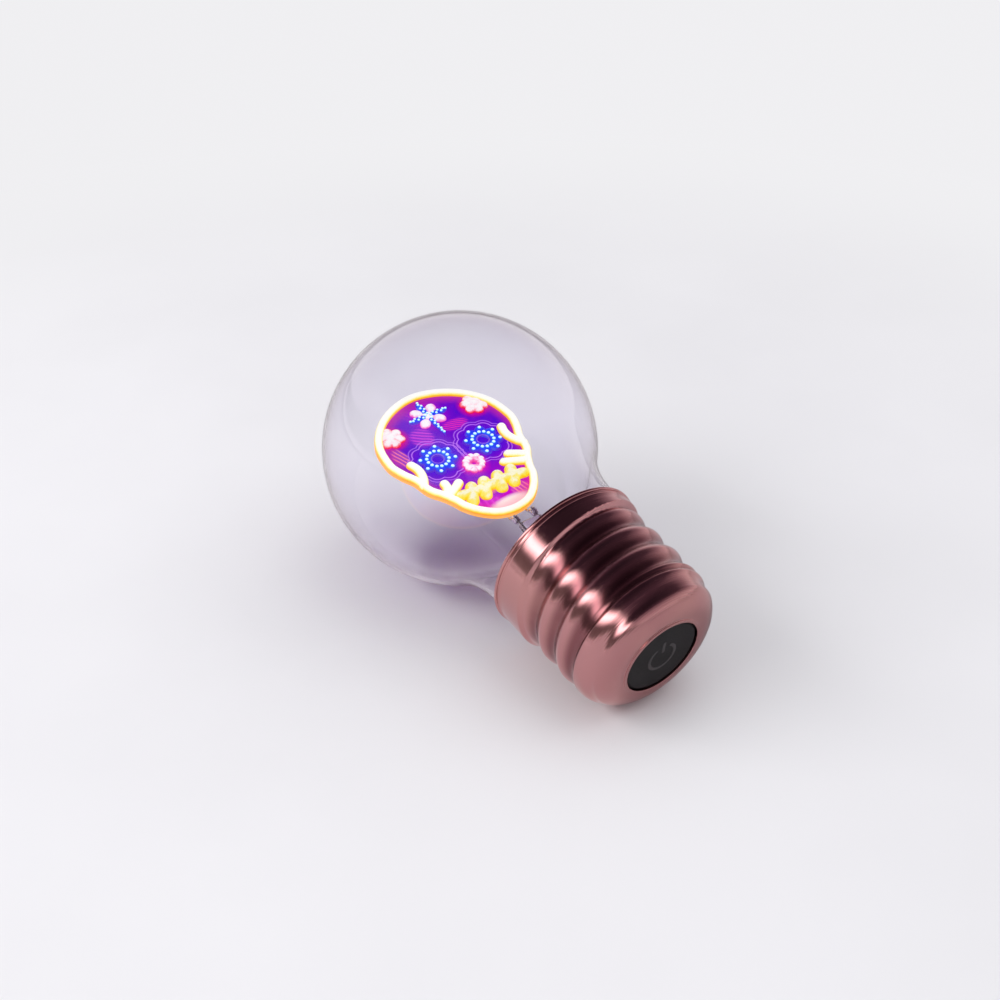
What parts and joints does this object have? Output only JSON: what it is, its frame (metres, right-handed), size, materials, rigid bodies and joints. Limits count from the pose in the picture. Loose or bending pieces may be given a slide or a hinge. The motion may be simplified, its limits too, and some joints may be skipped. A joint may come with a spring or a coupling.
{
  "type": "rechargeable led bulb",
  "caption": "Cordless rechargeable bulb: clear blown globe holding a lit skull figure on wire leads, rolled metal screw base with cell, board and charging socket, and a push button in the end.",
  "frame": {"origin": "centre of the footprint, on the plane of the lip that the bulb stands on", "axes": "+Z from the base end to the top of the globe, the figure faces -Y, the charging socket opens at +Y"},
  "size_m": [0.085, 0.085, 0.1399],
  "materials": {
    "clear_glass": "clear",
    "stem_glass": "clear",
    "lead_metal": "drawn",
    "ferrule_metal": "crimped",
    "solder": "soft shine",
    "clear_plate": "clear",
    "warm_light": "lit",
    "yellow_light": "lit",
    "blue_pad": "lit",
    "cyan_light": "lit",
    "pink_light": "lit",
    "red_light": "lit",
    "rose_shell": "satin plated",
    "cement": "matte",
    "black_plastic": "fine grain",
    "lens_plastic": "clear",
    "white_plastic": "moulded",
    "screw_steel": "bright",
    "cell_wrap": "shrink film",
    "contact_metal": "nickel plated",
    "foam": "soft",
    "card": "pressed card",
    "board_green": "solder mask",
    "chip_black": "moulded",
    "socket_steel": "bright",
    "plunger_red": "moulded",
    "button_rubber": "soft touch",
    "wire_black": "insulation",
    "wire_red": "insulation"
  },
  "bodies": {
    "bulb": {"glass_envelope": "clear_glass", "glass_stem": "stem_glass", "lead_wire_left": "lead_metal", "lead_wire_right": "lead_metal", "lead_ferrules": "ferrule_metal", "solder_joints": "solder", "figure_plate": "clear_plate", "outline_strip": "warm_light", "temple_curls": "warm_light", "cheek_strips": "warm_light", "teeth_strip": "yellow_light", "eye_flowers": "blue_pad", "eye_lights": "cyan_light", "nose_heart": "pink_light", "forehead_cross": "blue_pad", "cross_lights": "cyan_light", "forehead_petals": "pink_light", "side_flowers": "red_light", "screw_shell": "rose_shell", "cement_ring": "cement", "port_bezel": "black_plastic", "charge_lens": "lens_plastic", "carrier": "white_plastic", "board_screws": "screw_steel", "battery_cell": "cell_wrap", "cell_contacts": "contact_metal", "cell_pad": "foam", "closing_disc": "card", "circuit_board": "board_green", "board_parts": "chip_black", "charge_socket": "socket_steel", "socket_tongue": "black_plastic", "switch_body": "black_plastic", "feed_wire_left": "wire_black", "feed_wire_right": "wire_red"},
    "button": {"end_button": "button_rubber", "switch_plunger": "plunger_red"}
  },
  "joints": [
    {"name": "button_press", "type": "slide", "parent": "bulb", "child": "button", "axis": [0, 0, 1], "range_m": [0, 0.0006], "stiffness_N_per_m": 2500}
  ]
}
